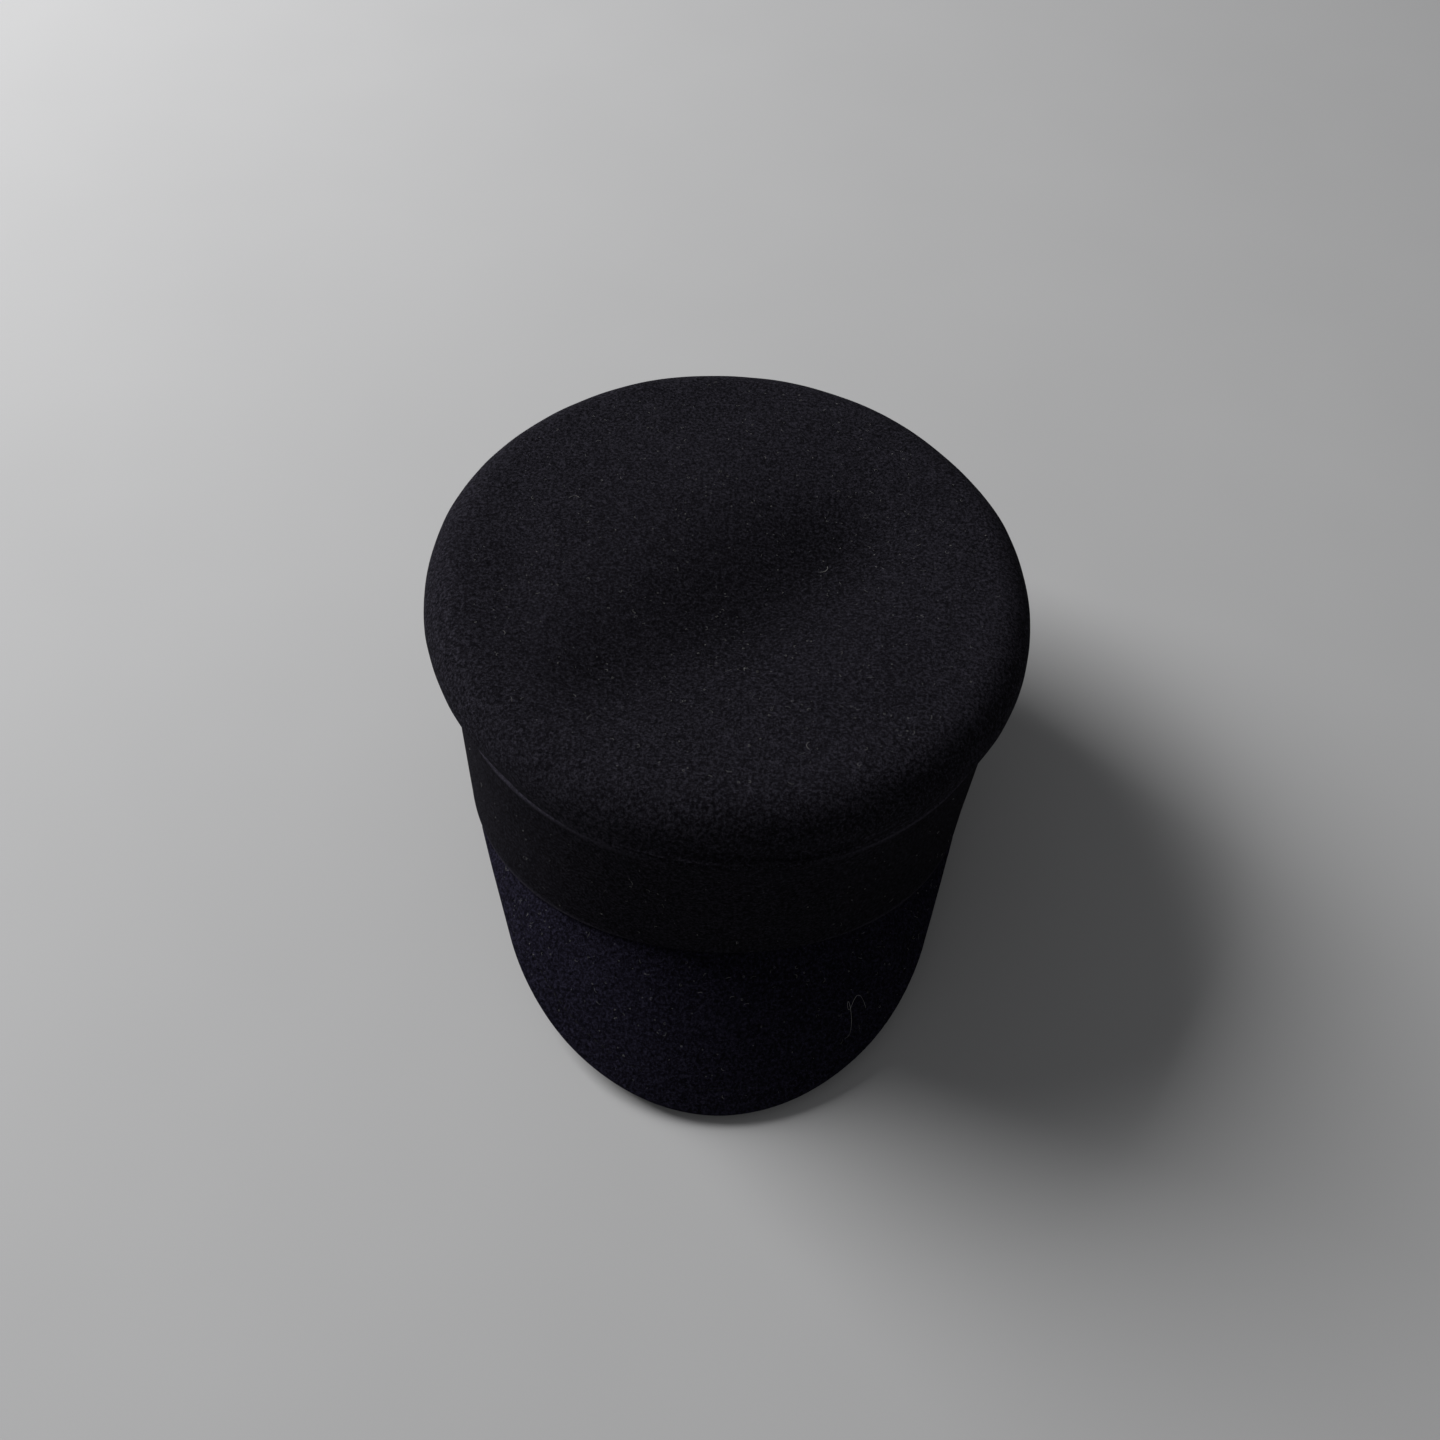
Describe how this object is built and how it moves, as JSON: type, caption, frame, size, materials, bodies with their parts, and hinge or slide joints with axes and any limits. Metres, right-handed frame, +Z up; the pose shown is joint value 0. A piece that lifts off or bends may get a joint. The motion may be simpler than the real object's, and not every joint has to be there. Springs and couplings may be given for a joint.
{
  "type": "peaked felt cap",
  "caption": "Peaked felt cap with a flared flat-topped crown, a wide felt band and a short steep visor, lined inside, worn on the head.",
  "frame": {"origin": "middle of the cap's box, on the surface it rests on with its visor's tip and the back of its band", "axes": "+Z up, -Y towards the wearer's front and the visor, +X towards the wearer's left"},
  "size_m": [0.1976, 0.2542, 0.1156],
  "materials": {
    "black_felt": "matt brushed wool felt with a short nap",
    "visor_felt": "matt smooth wool felt",
    "board": "matt stiffener board",
    "spring_wire": "drawn steel wire",
    "thread": "spun polyester thread",
    "grosgrain": "ribbed grosgrain ribbon",
    "satin": "smooth satin lining",
    "label": "woven tape, blank"
  },
  "bodies": {
    "cap": {"crown": "black_felt", "side_band": "black_felt", "band_seam_thread": "thread", "visor_top_felt": "visor_felt", "visor_board": "board", "visor_under_felt": "visor_felt", "visor_edge_wire": "spring_wire", "visor_hem_thread": "thread", "sweatband": "grosgrain", "sweatband_tab": "grosgrain", "sweatband_thread": "thread", "lining_side": "satin", "lining_tip": "satin", "lining_label": "label"},
    "care_label_flap": {"care_label": "label"}
  },
  "joints": [
    {"name": "care_label_flip", "type": "hinge", "parent": "cap", "child": "care_label_flap", "pos_m": [-0.06824, 0.07054, 0.07293], "axis": [-0.5192, -0.8489, 0.0991], "range_deg": [0, 90]}
  ]
}
